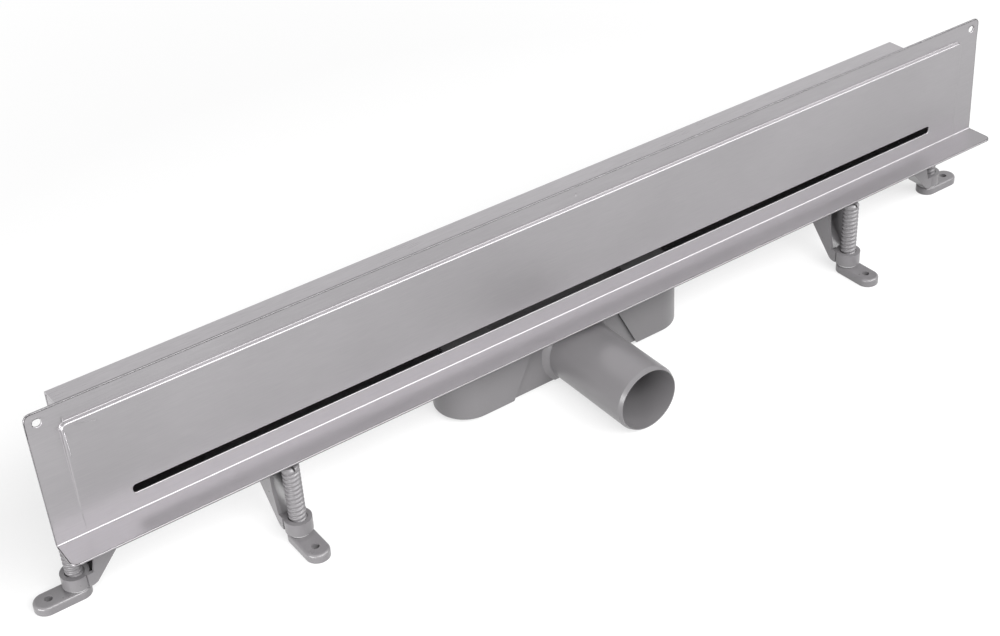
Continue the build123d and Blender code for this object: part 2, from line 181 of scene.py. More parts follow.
def node_group(name, inputs):
    """New shader group with a colour, a roughness and a height as outputs; returns it with its
    input and output nodes."""
    group = bpy.data.node_groups.new(name, "ShaderNodeTree")
    for label, kind, value in inputs:
        socket = group.interface.new_socket(name=label, in_out="INPUT", socket_type=kind)
        socket.default_value = value
    for label, kind in GROUP_OUTPUTS.items():
        group.interface.new_socket(name=label, in_out="OUTPUT", socket_type=kind)
    return group, group.nodes.new("NodeGroupInput"), group.nodes.new("NodeGroupOutput")


def surface_noise(group, scale, detail, stretch=None):
    """Noise on Object coordinates, spread over -1 to 1.

    The scale is a number or a socket. The stretch is a vector socket that scales the
    coordinates first.
    """
    nodes, links = group.nodes, group.links
    place = nodes.new("ShaderNodeTexCoord").outputs["Object"]
    if stretch:
        mapping = nodes.new("ShaderNodeMapping")
        links.new(place, mapping.inputs["Vector"])
        links.new(stretch, mapping.inputs["Scale"])
        place = mapping.outputs["Vector"]
    noise = nodes.new("ShaderNodeTexNoise")
    noise.inputs["Detail"].default_value = detail
    feed(group, noise.inputs["Scale"], scale)
    links.new(place, noise.inputs["Vector"])
    return map_range(group, noise.outputs["Fac"], NOISE_MIDDLE, (-1.0, 1.0))


def shaded_color(group, color, shade):
    """Colour socket multiplied by a shade socket."""
    node = group.nodes.new("ShaderNodeVectorMath")
    node.operation = "SCALE"
    group.links.new(color, node.inputs[0])
    group.links.new(shade, node.inputs["Scale"])
    return node.outputs["Vector"]


def make_sheet_grain():
    """Rolled and brushed sheet: fine streaks along the sheet and broad cloudy handling marks.

    Colour is the tone times one plus both noises by their amounts. Roughness is raised and
    lowered by the mean of the noises times its spread. Height is the streaks alone.
    """
    group, entry, leave = node_group("Sheet Grain", [
        ("Tone", "NodeSocketColor", (0.5, 0.5, 0.5, 1)),
        ("Streak Stretch", "NodeSocketVector", (20, 900, 900)),
        ("Streak Amount", "NodeSocketFloat", 0.05),
        ("Cloud Amount", "NodeSocketFloat", 0.04),
        ("Roughness", "NodeSocketFloat", 0.35),
        ("Roughness Spread", "NodeSocketFloat", 0.06),
    ])
    given, links = entry.outputs, group.links
    streak = surface_noise(group, **STREAKS, stretch=given["Streak Stretch"])
    cloud = surface_noise(group, **SHEET_CLOUDS)
    streak_part = math_node(group, "MULTIPLY", streak, given["Streak Amount"])
    cloud_part = math_node(group, "MULTIPLY", cloud, given["Cloud Amount"])
    shade = math_node(group, "ADD", math_node(group, "ADD", streak_part, cloud_part), 1.0)
    mean = math_node(group, "MULTIPLY", math_node(group, "ADD", streak, cloud), 0.5)
    uneven = math_node(group, "MULTIPLY", mean, given["Roughness Spread"])
    roughness = math_node(group, "ADD", uneven, given["Roughness"])
    links.new(shaded_color(group, given["Tone"], shade), leave.inputs["Color"])
    links.new(roughness, leave.inputs["Roughness"])
    links.new(streak, leave.inputs["Height"])
    return group


def make_moulded_skin():
    """Moulded plastic: fine eroded texture of the tool, faint flow clouds and scuffs.

    Colour is the tone times one plus the clouds by their amount. Roughness is raised and
    lowered by the scuffs by their amount. Height is the eroded texture.
    """
    group, entry, leave = node_group("Moulded Skin", [
        ("Tone", "NodeSocketColor", (0.3, 0.3, 0.3, 1)),
        ("Cloud Amount", "NodeSocketFloat", 0.05),
        ("Grain Scale", "NodeSocketFloat", 1600.0),
        ("Roughness", "NodeSocketFloat", 0.4),
        ("Scuff Amount", "NodeSocketFloat", 0.1),
    ])
    given, links = entry.outputs, group.links
    cloud = surface_noise(group, **MOULDED_CLOUDS)
    scuff = surface_noise(group, **SCUFFS)
    grain = surface_noise(group, given["Grain Scale"], GRAIN_DETAIL)
    cloud_part = math_node(group, "MULTIPLY", cloud, given["Cloud Amount"])
    shade = math_node(group, "ADD", cloud_part, 1.0)
    scuff_part = math_node(group, "MULTIPLY", scuff, given["Scuff Amount"])
    roughness = math_node(group, "ADD", scuff_part, given["Roughness"])
    links.new(shaded_color(group, given["Tone"], shade), leave.inputs["Color"])
    links.new(roughness, leave.inputs["Roughness"])
    links.new(grain, leave.inputs["Height"])
    return group


GROUP_MAKERS = {"Sheet Grain": make_sheet_grain, "Moulded Skin": make_moulded_skin}


def shader_group(name):
    """The named group, built the first time that it is asked for."""
    return bpy.data.node_groups.get(name) or GROUP_MAKERS[name]()


# Materials

INDEX_OF_REFRACTION = 1.5


def grouped_material(name, group_name, values, bump, bump_distance, metallic=0.0, coat=0.0):
    """Principled material fed by a node group: colour, roughness and a bump from its height."""
    material = bpy.data.materials.new(name)
    material.use_nodes = True
    nodes, links = material.node_tree.nodes, material.node_tree.links
    shader = nodes["Principled BSDF"]
    finish = nodes.new("ShaderNodeGroup")
    finish.node_tree = shader_group(group_name)
    for label, value in values.items():
        finish.inputs[label].default_value = value
    relief = nodes.new("ShaderNodeBump")
    relief.inputs["Strength"].default_value = bump
    relief.inputs["Distance"].default_value = bump_distance
    shader.inputs["Metallic"].default_value = metallic
    shader.inputs["Coat Weight"].default_value = coat
    shader.inputs["IOR"].default_value = INDEX_OF_REFRACTION
    links.new(finish.outputs["Color"], shader.inputs["Base Color"])
    links.new(finish.outputs["Roughness"], shader.inputs["Roughness"])
    links.new(finish.outputs["Height"], relief.inputs["Height"])
    links.new(relief.outputs["Normal"], shader.inputs["Normal"])
    return material


def satin_plate_material():
    """Satin stainless front plate with fine streaks along its length."""
    steel = bpy.context.scene.drain_steel
    values = {
        "Tone": (*steel.plate_color, 1), "Streak Stretch": (60, 1400, 1400), "Streak Amount": 0.035,
        "Cloud Amount": 0.03, "Roughness": steel.plate_roughness, "Roughness Spread": 0.05,
    }
    return grouped_material(
        "Satin front plate", "Sheet Grain", values, 0.12, 0.02 * MM, metallic=1.0,
    )


def rolled_sheet_material():
    """Bright rolled stainless sheet of the channel."""
    steel = bpy.context.scene.drain_steel
    values = {
        "Tone": (*steel.channel_color, 1), "Streak Stretch": (80, 1200, 1200),
        "Streak Amount": 0.06, "Cloud Amount": 0.04, "Roughness": 0.32, "Roughness Spread": 0.08,
    }
    return grouped_material(
        "Rolled channel sheet", "Sheet Grain", values, 0.15, 0.02 * MM, metallic=1.0,
    )


def nut_material():
    """Plain bright steel of the nuts."""
    values = {
        "Tone": (0.5, 0.5, 0.5, 1), "Streak Stretch": (900, 900, 900), "Streak Amount": 0.08,
        "Cloud Amount": 0.02, "Roughness": 0.3, "Roughness Spread": 0.1,
    }
    return grouped_material("Bright nuts", "Sheet Grain", values, 0.2, 0.02 * MM, metallic=1.0)


def trap_material():
    """Grey moulded trap with a soft sheen."""
    plastic = bpy.context.scene.drain_plastic
    values = {
        "Tone": (*plastic.trap_color, 1), "Cloud Amount": 0.02, "Grain Scale": 1500.0,
        "Roughness": 0.34, "Scuff Amount": 0.02,
    }
    return grouped_material("Grey moulded trap", "Moulded Skin", values, 0.15, 0.03 * MM)


def foot_material():
    """Grey moulded brackets and pads, glossier than the trap."""
    plastic = bpy.context.scene.drain_plastic
    values = {
        "Tone": (*plastic.foot_color, 1), "Cloud Amount": 0.03, "Grain Scale": 1100.0,
        "Roughness": 0.3, "Scuff Amount": 0.03,
    }
    return grouped_material("Grey moulded feet", "Moulded Skin", values, 0.2, 0.04 * MM, coat=0.15)


def screw_material():
    """Grey moulded screws."""
    plastic = bpy.context.scene.drain_plastic
    values = {
        "Tone": (*plastic.foot_color, 1), "Cloud Amount": 0.04, "Grain Scale": 1300.0,
        "Roughness": 0.28, "Scuff Amount": 0.06,
    }
    return grouped_material("Grey moulded screws", "Moulded Skin", values, 0.1, 0.03 * MM, coat=0.1)


def washer_material():
    """Pale slippery plastic of the thrust washers."""
    values = {
        "Tone": (0.55, 0.55, 0.55, 1), "Cloud Amount": 0.03, "Grain Scale": 1300.0,
        "Roughness": 0.35, "Scuff Amount": 0.05,
    }
    return grouped_material("Pale washers", "Moulded Skin", values, 0.1, 0.03 * MM)


def gasket_material():
    """Black sealing rubber."""
    values = {
        "Tone": (0.03, 0.03, 0.03, 1), "Cloud Amount": 0.1, "Grain Scale": 900.0,
        "Roughness": 0.55, "Scuff Amount": 0.1,
    }
    return grouped_material("Sealing rubber", "Moulded Skin", values, 0.3, 0.05 * MM)


MATERIALS = {
    "front_plate": satin_plate_material,
    "channel_sheet": rolled_sheet_material,
    "trap_plastic": trap_material,
    "seal_plastic": trap_material,
    "foot_plastic": foot_material,
    "spindle": screw_material,
    "washer": washer_material,
    "gasket": gasket_material,
    "nuts": nut_material,
}
made_materials = {}


def finish_for(slot_name):
    """The material of a slot of the record, made the first time that it is asked for."""
    maker = MATERIALS[slot_name]
    if maker not in made_materials:
        made_materials[maker] = maker()
    return made_materials[maker]


# Pieces and meshes

EDGE_SEGMENTS = 3
# A sharper edge than this is a cut one, because the bends turn by less from row to row
EDGE_ANGLE = radians(80)


def dress(node, slot_name):
    """Gives a CAD node its finish."""
    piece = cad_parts[node]
    piece.data.materials.clear()
    piece.data.materials.append(finish_for(slot_name))


def new_piece(name, mesh, slot_name, body):
    """Object for a new mesh, with its finish, riding on a body."""
    piece = bpy.data.objects.new(name, mesh)
    bpy.context.scene.collection.objects.link(piece)
    mesh.materials.append(finish_for(slot_name))
    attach(piece, body)
    return piece


def soften_edges(piece, width):
    """Rounds a new piece's cut edges and keeps its flat faces flat."""
    bevel = piece.modifiers.new("Round edges", "BEVEL")
    bevel.width = width
    bevel.segments = EDGE_SEGMENTS
    bevel.limit_method = "ANGLE"
    bevel.angle_limit = EDGE_ANGLE
    bevel.use_clamp_overlap = False
    weigh = piece.modifiers.new("Flat faces lead", "WEIGHTED_NORMAL")
    weigh.weight = 100
    weigh.keep_sharp = True


def cut_away(mesh, cutter_mesh, sheet=0.0):
    """Mesh less a cutter mesh, after an open surface has got the thickness of its sheet."""
    scene = bpy.context.scene
    blank = bpy.data.objects.new("blank", mesh)
    cutter = bpy.data.objects.new("cutter", cutter_mesh)
    scene.collection.objects.link(blank)
    scene.collection.objects.link(cutter)
    if sheet:
        thicken = blank.modifiers.new("Sheet", "SOLIDIFY")
        thicken.thickness = sheet
        thicken.offset = -1
        thicken.use_even_offset = True
    cut = blank.modifiers.new("Cut", "BOOLEAN")
    cut.operation = "DIFFERENCE"
    cut.solver = "EXACT"
    cut.object = cutter
    cut_blank = blank.evaluated_get(bpy.context.evaluated_depsgraph_get())
    result = bpy.data.meshes.new_from_object(cut_blank)
    bpy.data.objects.remove(blank)
    bpy.data.objects.remove(cutter)
    return result


def grid_faces(rows, columns, closed=False):
    """Quads of a grid of points, whose rows close into rings if it is closed."""
    firsts = np.arange(columns if closed else columns - 1)
    low, column = np.meshgrid(np.arange(rows - 1) * columns, firsts, indexing="ij")
    following = (column + 1) % columns
    high = low + columns
    corners = [low + column, low + following, high + following, high + column]
    return np.stack(corners, axis=-1).reshape(-1, 4)


def turned_mesh(name, rings, bottom, top):
    """Closed mesh from rings of points, row by row from the bottom pole to the top pole."""
    rows, columns = rings.shape[:2]
    points = np.concatenate([rings.reshape(-1, 3), [bottom], [top]])
    around = np.arange(columns)
    following = (around + 1) % columns
    bottom_pole = np.full(columns, rows * columns)
    last_row = (rows - 1) * columns
    floor_fan = np.stack([bottom_pole, following, around], axis=-1)
    roof_fan = np.stack([bottom_pole + 1, last_row + around, last_row + following], axis=-1)
    quads = grid_faces(rows, columns, closed=True)
    mesh = bpy.data.meshes.new(name)
    mesh.from_pydata(points.tolist(), [], quads.tolist() + floor_fan.tolist() + roof_fan.tolist())
    mesh.validate()
    return mesh


def box_mesh(name, centre, half, along):
    """Box round a centre: half sizes along a flat direction, across it and upwards."""
    signs = np.array([(x, y, z) for x in (-1, 1) for y in (-1, 1) for z in (-1, 1)], float)
    across = (-along[1], along[0])
    axes = np.array([(*along, 0), (*across, 0), (0, 0, 1)], float)
    points = np.array(centre) + (signs * np.array(half)) @ axes
    faces = [(0, 1, 3, 2), (4, 6, 7, 5), (0, 4, 5, 1), (2, 3, 7, 6), (0, 2, 6, 4), (1, 5, 7, 3)]
    mesh = bpy.data.meshes.new(name)
    mesh.from_pydata(points.tolist(), [], faces)
    return mesh


def prism_mesh(name, outlines, depths):
    """Closed prisms along the depth of the drain, one for each outline of (x, z) points."""
    points, faces, start = [], [], 0
    for outline in outlines:
        count = len(outline)
        near = start + np.arange(count)
        far = near + count
        sides = np.stack([near, far, np.roll(far, -1), np.roll(near, -1)], axis=-1)
        points += [np.insert(outline, 1, depth, axis=1) for depth in depths]
        faces += [near.tolist(), far[::-1].tolist(), *sides.tolist()]
        start += 2 * count
    mesh = bpy.data.meshes.new(name)
    mesh.from_pydata(np.concatenate(points).tolist(), [], faces)
    return mesh


# Screw spindles

SWIVEL_RADIUS = 4.0 * MM
BEAD_RADIUS = 4.6 * MM
BEAD_HEIGHT = 1.4 * MM
BEAD_EDGE = 0.3 * MM
COLLAR_BOTTOM = -56.8 * MM
TIP_CHAMFER = 1.2 * MM
DRIVER_SLOT_WIDTH = 1.6 * MM
DRIVER_SLOT_DEPTH = 2.0 * MM
# Shares of half a pitch that the crest and the flank of the thread take
CREST_SHARE = 0.3
FLANK_SHARE = 0.45
RINGS_PER_TURN = 14
POINTS_ROUND = 48
SCREW_SHARP_ANGLE = radians(45)


def threaded_spindle(centre, bottom, top, radius):
    """Rings of a screw: a plain swivel neck with a bead, then a right-hand thread up to the tip.

    On the shank the radius at height z and angle a is the crest radius less the depth times a
    rounded trapezium of the phase z / pitch - a / (2 pi). The depth fades out over one pitch at
    both ends of the shank.
    """
    thread = bpy.context.scene.drain_thread
    shank_start = COLLAR_BOTTOM
    shank_end = top - TIP_CHAMFER
    steps = int((shank_end - shank_start) / thread.pitch * RINGS_PER_TURN)
    bead_top = bottom + BEAD_HEIGHT
    heights = np.concatenate([
        [bottom, bottom + BEAD_EDGE, bead_top - BEAD_EDGE, bead_top, bead_top, shank_start],
        np.linspace(shank_start, shank_end, steps),
        [top],
    ])
    bead_rim = BEAD_RADIUS - BEAD_EDGE
    plain = np.concatenate([
        [bead_rim, BEAD_RADIUS, BEAD_RADIUS, bead_rim, SWIVEL_RADIUS, SWIVEL_RADIUS],
        np.full(steps, radius),
        [radius - TIP_CHAMFER],
    ])
    angles = np.linspace(0, 2 * np.pi, POINTS_ROUND, endpoint=False)
    phase = (heights[:, None] / thread.pitch - angles[None, :] / (2 * np.pi)) % 1.0
    from_crest = np.abs(phase - 0.5) * 2
    groove = np.clip((from_crest - CREST_SHARE) / FLANK_SHARE, 0, 1)
    groove = groove * groove * (3 - 2 * groove)
    inside = np.minimum(heights - shank_start, shank_end - heights) / thread.pitch
    fade = np.clip(inside, 0, 1)[:, None]
    radii = plain[:, None] - thread.depth * groove * fade
    rings = np.stack([
        centre[0] + radii * np.cos(angles)[None, :],
        centre[1] + radii * np.sin(angles)[None, :],
        np.repeat(heights[:, None], POINTS_ROUND, axis=1),
    ], axis=-1)
    return rings, (*centre, bottom), (*centre, top)


# Front plate

PANEL_LENGTH = 760 * MM
PANEL_HEIGHT = 82 * MM
PANEL_CORNER = 4 * MM
PRESS_DRAFT = radians(20)
PRESS_ROUND = 1.0 * MM
# Radius of the root between press wall and ear, and the most of the lean that it may take
PRESS_ROOT = 0.4 * MM
ROOT_SHARE = 0.6
SMALLEST_ROOT = 1e-9
EAR_LEAN_HEIGHT = 80 * MM
FOLD_RADIUS = 1.0 * MM
SHEET_CORNER = 5 * MM
DRAINAGE_SLOT = {
    "length": 697 * MM, "height": 6 * MM, "bottom": 12.9 * MM, "shift": 2.4 * MM,
    "corner": 2.2 * MM,
}
EAR_HOLE = {"radius": 2.75 * MM, "inset": 7.7 * MM, "drop": 7.5 * MM}
CENTRE_MARK = {"radius": 1.5 * MM, "depth": 0.4 * MM, "drop": 6.5 * MM}
# Where the prisms of the openings start and end, as shares of the panel front's depth
PUNCH_SHARES = (0.5, 2.0)
# A round hole's half size over its radius, so that no two of its points fall together
HOLE_EASE = 1.001

# Angles of the points round a corner or the fold, and of those round the plate's top corners
QUARTER_TURNS = np.linspace(0, np.pi / 2, 9)
TOP_CORNER_TURNS = np.linspace(0.35, np.pi / 2, 8)
# Where the grid's columns and rows lie. A band is how far its fine steps reach on both sides of
# a middle, and how wide they are. The press walls' middle lies this far inside their outline.
PLAIN_COLUMNS = np.arange(1, 9) * PANEL_LENGTH / 19
PLAIN_ROWS = np.array([4, 8, 11, 21, 30, 45, 60, 72]) * MM
EAR_COLUMN = PANEL_LENGTH / 2 + 7 * MM
CORNER_RUN = SHEET_CORNER + 3 * MM
PRESS_MIDDLE = 1.1 * MM
PRESS_BAND = (3.3 * MM, 0.12 * MM)
MARK_BAND = (1.8 * MM, 0.3 * MM)

Plate = namedtuple("Plate", "length top sheet front step")


def plate_sizes():
    """Length, top, sheet, depth of the panel's front and press step, from the plate's box."""
    low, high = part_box("front_plate")
    sheet = -low.z
    return Plate(high.x - low.x, high.z, sheet, -low.y, high.y + low.y - sheet)


def fine_steps(centre, reach, step):
    """Evenly spaced values on both sides of a centre."""
    count = int(round(2 * reach / step))
    return np.linspace(centre - reach, centre + reach, count + 1)


def round_inset(from_corner):
    """How far a rounded corner pulls an edge in, at a distance past the corner's start."""
    past = np.clip(from_corner, 0, SHEET_CORNER)
    return SHEET_CORNER - np.sqrt(SHEET_CORNER**2 - past**2)


def pressed_front(x, z, plate):
    """Depth of the plate's room side at a length and a height.

    The distance to the panel's outline is that of a rounded rectangle, open at its foot. Past it
    the press wall falls back along an arc and then at its draft, down to the ears, which lean
    back by the step from the fold up to their lean height. The smaller depth holds, with a
    rounded root between them, and the centre mark is a round dimple in the upper border.
    """
    beyond_x = np.abs(x) - (PANEL_LENGTH / 2 - PANEL_CORNER)
    beyond_z = z - (PANEL_HEIGHT - PANEL_CORNER)
    corner = np.hypot(np.maximum(beyond_x, 0), np.maximum(beyond_z, 0))
    distance = corner + np.minimum(np.maximum(beyond_x, beyond_z), 0) - PANEL_CORNER
    turn = np.pi / 2 - PRESS_DRAFT
    start = PRESS_ROUND * np.tan(turn / 2)
    along = np.clip(distance + start, 0, PRESS_ROUND * np.sin(turn))
    arc = PRESS_ROUND - np.sqrt(PRESS_ROUND**2 - along**2)
    wall = arc + np.maximum(distance + start - along, 0) / np.tan(PRESS_DRAFT)
    lean = plate.step * np.clip((z - FOLD_RADIUS) / (EAR_LEAN_HEIGHT - FOLD_RADIUS), 0, 1)
    root = np.maximum(np.minimum(PRESS_ROOT, ROOT_SHARE * lean), SMALLEST_ROOT)
    near = np.maximum(root - np.abs(wall - lean), 0) / root
    depth = np.minimum(wall, lean) - near**2 * root / 4
    away = np.hypot(x, z - (plate.top - CENTRE_MARK["drop"])) / CENTRE_MARK["radius"]
    dimple = CENTRE_MARK["depth"] * (0.5 + 0.5 * np.cos(np.pi * np.clip(away, 0, 1)))
    return plate.front + depth + dimple


def formed_surface():
    """Room side of the plate: flange, fold arc and pressed upright, as one grid.

    Columns run along the drain and crowd at the press walls, the centre mark and the ends. Rows
    run from the flange's lip over the fold to the top. Near its ends a row is shortened to the
    rounded corners.
    """
    plate = plate_sizes()
    end = plate.length / 2
    right = np.concatenate([
        PLAIN_COLUMNS,
        fine_steps(PANEL_LENGTH / 2 - PRESS_MIDDLE, *PRESS_BAND),
        [EAR_COLUMN, end - CORNER_RUN],
        end - SHEET_CORNER * (1 - np.sin(QUARTER_TURNS)),
    ])
    columns = np.concatenate([-right[::-1], fine_steps(0, *MARK_BAND), right])
    lip = SHEET_CORNER - plate.front
    flange = np.append(lip - SHEET_CORNER * np.cos(QUARTER_TURNS), 0.0)
    upright = np.concatenate([
        PLAIN_ROWS,
        fine_steps(PANEL_HEIGHT - PRESS_MIDDLE, *PRESS_BAND),
        fine_steps(plate.top - CENTRE_MARK["drop"], *MARK_BAND),
        plate.top - SHEET_CORNER * (1 - np.sin(TOP_CORNER_TURNS)),
    ])
    inset = np.concatenate([
        round_inset(lip - flange),
        np.zeros(len(QUARTER_TURNS)),
        round_inset(upright - (plate.top - SHEET_CORNER)),
    ])
    fold_depth = plate.front - FOLD_RADIUS + FOLD_RADIUS * np.sin(QUARTER_TURNS)
    fold_height = FOLD_RADIUS - FOLD_RADIUS * np.cos(QUARTER_TURNS)
    depth = np.concatenate([flange, fold_depth, upright * 0])
    height = np.concatenate([flange * 0, fold_height, upright])
    share = np.clip((np.abs(columns) - (end - CORNER_RUN)) / CORNER_RUN, 0, 1)
    x = columns[None, :] - np.sign(columns)[None, :] * share[None, :] * inset[:, None]
    z = np.repeat(height[:, None], len(columns), axis=1)
    y = np.repeat(depth[:, None], len(columns), axis=1)
    pressed = slice(len(flange) + len(fold_depth), None)
    y[pressed] = pressed_front(x[pressed], z[pressed], plate)
    return np.stack([x, y, z], axis=-1)


def rounded_outline(centre, half, corner):
    """Points of a rounded rectangle, anticlockwise: four arcs about its inset corners."""
    arcs = []
    for quarter, (side_x, side_z) in enumerate(((1, 1), (-1, 1), (-1, -1), (1, -1))):
        angles = QUARTER_TURNS + quarter * np.pi / 2
        arcs.append(np.stack([
            centre[0] + side_x * (half[0] - corner) + corner * np.cos(angles),
            centre[1] + side_z * (half[1] - corner) + corner * np.sin(angles),
        ], axis=-1))
    return np.concatenate(arcs)


def plate_openings():
    """Prisms of the drainage slot and of the hole in each ear."""
    plate = plate_sizes()
    slot = DRAINAGE_SLOT
    centre = (slot["shift"], slot["bottom"] + slot["height"] / 2)
    half = (slot["length"] / 2, slot["height"] / 2)
    outlines = [rounded_outline(centre, half, slot["corner"])]
    radius = EAR_HOLE["radius"]
    half = (HOLE_EASE * radius, HOLE_EASE * radius)
    for side in (-1, 1):
        centre = (side * (plate.length / 2 - EAR_HOLE["inset"]), plate.top - EAR_HOLE["drop"])
        outlines.append(rounded_outline(centre, half, radius))
    return prism_mesh("plate openings", outlines, [share * plate.front for share in PUNCH_SHARES])


# Studio

FLOOR_LEVEL = -65.6 * MM
FLOOR_REACH = 10.0
FLOOR_GLOW = 0.68
# Distances in metres between which the glow rises to white
FLOOR_FADE = (0.6, 1.8)
# Place and size in metres, and share of the key power
SOFT_BOXES = {
    "key_box": ((0.9, -1.25, 1.5), (1.7, 1.1), 1.05),
    "front_box": ((-0.3, -1.5, 1.35), (1.5, 0.9), 1.2),
    "low_box": ((-1.5, -0.45, 0.15), (1.2, 0.5), 0.75),
    "right_box": ((1.7, -1.1, 0.95), (0.8, 0.6), 0.2),
}
CAMERA_PLACE = (-605.90 * MM, -794.56 * MM, 687.27 * MM)
CAMERA_ANGLES = (55.39248, 2.96306, -35.68388)
SENSOR_WIDTH = 36.0
CLIP_DISTANCES = (0.05, 50.0)


def floor_mesh():
    """Flat square floor, ten metres each way from the drain."""
    mesh = bpy.data.meshes.new("studio_floor")
    turns = ((-1, -1), (1, -1), (1, 1), (-1, 1))
    corners = [(x * FLOOR_REACH, y * FLOOR_REACH, FLOOR_LEVEL) for x, y in turns]
    mesh.from_pydata(corners, [], [(0, 1, 2, 3)])
    return mesh


def keep_under_feet(floor):
    """Lowers the floor with the lowest foot at every pose."""
    group = bpy.data.node_groups.new("floor_under_feet", "GeometryNodeTree")
    for way in ("INPUT", "OUTPUT"):
        group.interface.new_socket("Geometry", in_out=way, socket_type="NodeSocketGeometry")
    nodes, links = group.nodes, group.links
    lowest = 0.0
    for place in FEET:
        pad = nodes.new("GeometryNodeObjectInfo")
        pad.transform_space = "ORIGINAL"
        pad.inputs["Object"].default_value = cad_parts[f"pad_{place}"]
        height = nodes.new("ShaderNodeSeparateXYZ")
        links.new(pad.outputs["Location"], height.inputs["Vector"])
        lowest = math_node(group, "MINIMUM", height.outputs["Z"], lowest)
    shift = nodes.new("ShaderNodeCombineXYZ")
    links.new(lowest, shift.inputs["Z"])
    moved = nodes.new("GeometryNodeTransform")
    links.new(nodes.new("NodeGroupInput").outputs["Geometry"], moved.inputs["Geometry"])
    links.new(shift.outputs["Vector"], moved.inputs["Translation"])
    links.new(moved.outputs["Geometry"], nodes.new("NodeGroupOutput").inputs["Geometry"])
    floor.modifiers.new("under feet", "NODES").node_group = group


def seen_directly(tree):
    """Value of 1 on camera, glossy and transmission rays, and 0 on others."""
    path = tree.nodes.new("ShaderNodeLightPath")
    total = path.outputs["Is Camera Ray"]
    for label in ("Is Glossy Ray", "Is Transmission Ray"):
        total = math_node(tree, "MAXIMUM", total, path.outputs[label])
    return total


def floor_material(color):
    """Pale floor: a diffuse part that takes the shadow, and a glow that only the camera and
    reflections see, so that the lit floor is white. Far off, where the lamps fade, the glow is
    white by itself."""
    material = bpy.data.materials.new("Studio floor")
    material.use_nodes = True
    tree = material.node_tree
    nodes, links = tree.nodes, tree.links
    nodes.remove(nodes["Principled BSDF"])
    diffuse = nodes.new("ShaderNodeBsdfDiffuse")
    diffuse.inputs["Color"].default_value = (*color, 1)
    distance = nodes.new("ShaderNodeVectorMath")
    distance.operation = "LENGTH"
    links.new(nodes.new("ShaderNodeNewGeometry").outputs["Position"], distance.inputs[0])
    strength = map_range(tree, distance.outputs["Value"], FLOOR_FADE, (FLOOR_GLOW, 1.0))
    glow = nodes.new("ShaderNodeEmission")
    links.new(math_node(tree, "MULTIPLY", seen_directly(tree), strength), glow.inputs["Strength"])
    both = nodes.new("ShaderNodeAddShader")
    links.new(diffuse.outputs["BSDF"], both.inputs[0])
    links.new(glow.outputs["Emission"], both.inputs[1])
    links.new(both.outputs["Shader"], nodes["Material Output"].inputs["Surface"])
    return material


def studio_world(fill):
    """White surroundings for the camera and reflections, and a softer fill for all else."""
    world = bpy.data.worlds.new("Studio surroundings")
    world.use_nodes = True
    tree = world.node_tree
    background = tree.nodes["Background"]
    background.inputs["Color"].default_value = (1, 1, 1, 1)
    strength = map_range(tree, seen_directly(tree), (0.0, 1.0), (fill, 1.0))
    tree.links.new(strength, background.inputs["Strength"])
    return world


def soft_box(name, place, size, power):
    """Rectangular area lamp that faces the drain."""
    lamp = bpy.data.lights.new(name, "AREA")
    lamp.shape = "RECTANGLE"
    lamp.size, lamp.size_y = size
    lamp.energy = power
    holder = bpy.data.objects.new(name, lamp)
    holder.location = place
    holder.rotation_mode = "QUATERNION"
    holder.rotation_quaternion = (-Vector(place)).to_track_quat("-Z", "Y")
    bpy.context.scene.collection.objects.link(holder)


def photo_camera(lens):
    """Camera at the photograph's viewpoint."""
    camera = bpy.data.cameras.new("photo_camera")
    camera.lens = lens
    camera.sensor_width = SENSOR_WIDTH
    camera.clip_start, camera.clip_end = CLIP_DISTANCES
    holder = bpy.data.objects.new("photo_camera", camera)
    holder.location = CAMERA_PLACE
    holder.rotation_euler = Euler([radians(angle) for angle in CAMERA_ANGLES], "XYZ")
    bpy.context.scene.collection.objects.link(holder)
    return holder


# Operators


class DRAIN_OT_front_plate(bpy.types.Operator):
    """Model the pressed and folded front plate with its rounded bends and deburred edges"""

    bl_idname = "drain.front_plate"
    bl_label = "Front plate"

    def execute(self, context):
        grid = formed_surface()
        surface = bpy.data.meshes.new("plate surface")
        surface.from_pydata(grid.reshape(-1, 3).tolist(), [], grid_faces(*grid.shape[:2]).tolist())
        mesh = cut_away(surface, plate_openings(), sheet=plate_sizes().sheet)
        mesh.name = "formed_front_plate"
        mesh.shade_smooth()
        piece = new_piece("formed_front_plate", mesh, "front_plate", "channel")
        soften_edges(piece, context.scene.drain_steel.edge_rounding)
        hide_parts("front_plate")
        return {"FINISHED"}


class DRAIN_OT_channel(bpy.types.Operator):
    """Finish the channel shell, its end plates and the outlet neck"""

    bl_idname = "drain.channel"
    bl_label = "Channel"

    def execute(self, context):
        for node in ("channel_shell", "end_plate_left", "end_plate_right", "outlet_neck"):
            dress(node, "channel_sheet")
        return {"FINISHED"}


class DRAIN_OT_trap(bpy.types.Operator):
    """Finish the trap, its gasket, dip tube and cup"""

    bl_idname = "drain.trap"
    bl_label = "Trap"

    def execute(self, context):
        dress("trap_body", "trap_plastic")
        dress("dip_tube", "seal_plastic")
        dress("trap_cup", "seal_plastic")
        dress("trap_gasket", "gasket")
        return {"FINISHED"}


class DRAIN_OT_nuts(bpy.types.Operator):
    """Finish the nuts of the trap and the brackets"""

    bl_idname = "drain.nuts"
    bl_label = "Nuts"

    def execute(self, context):
        for node in ("trap_nuts", "bracket_nuts"):
            dress(node, "nuts")
        return {"FINISHED"}


class DRAIN_OT_brackets(bpy.types.Operator):
    """Finish the four moulded brackets"""

    bl_idname = "drain.brackets"
    bl_label = "Brackets"

    def execute(self, context):
        for place in FEET:
            dress(f"bracket_{place}", "foot_plastic")
        return {"FINISHED"}


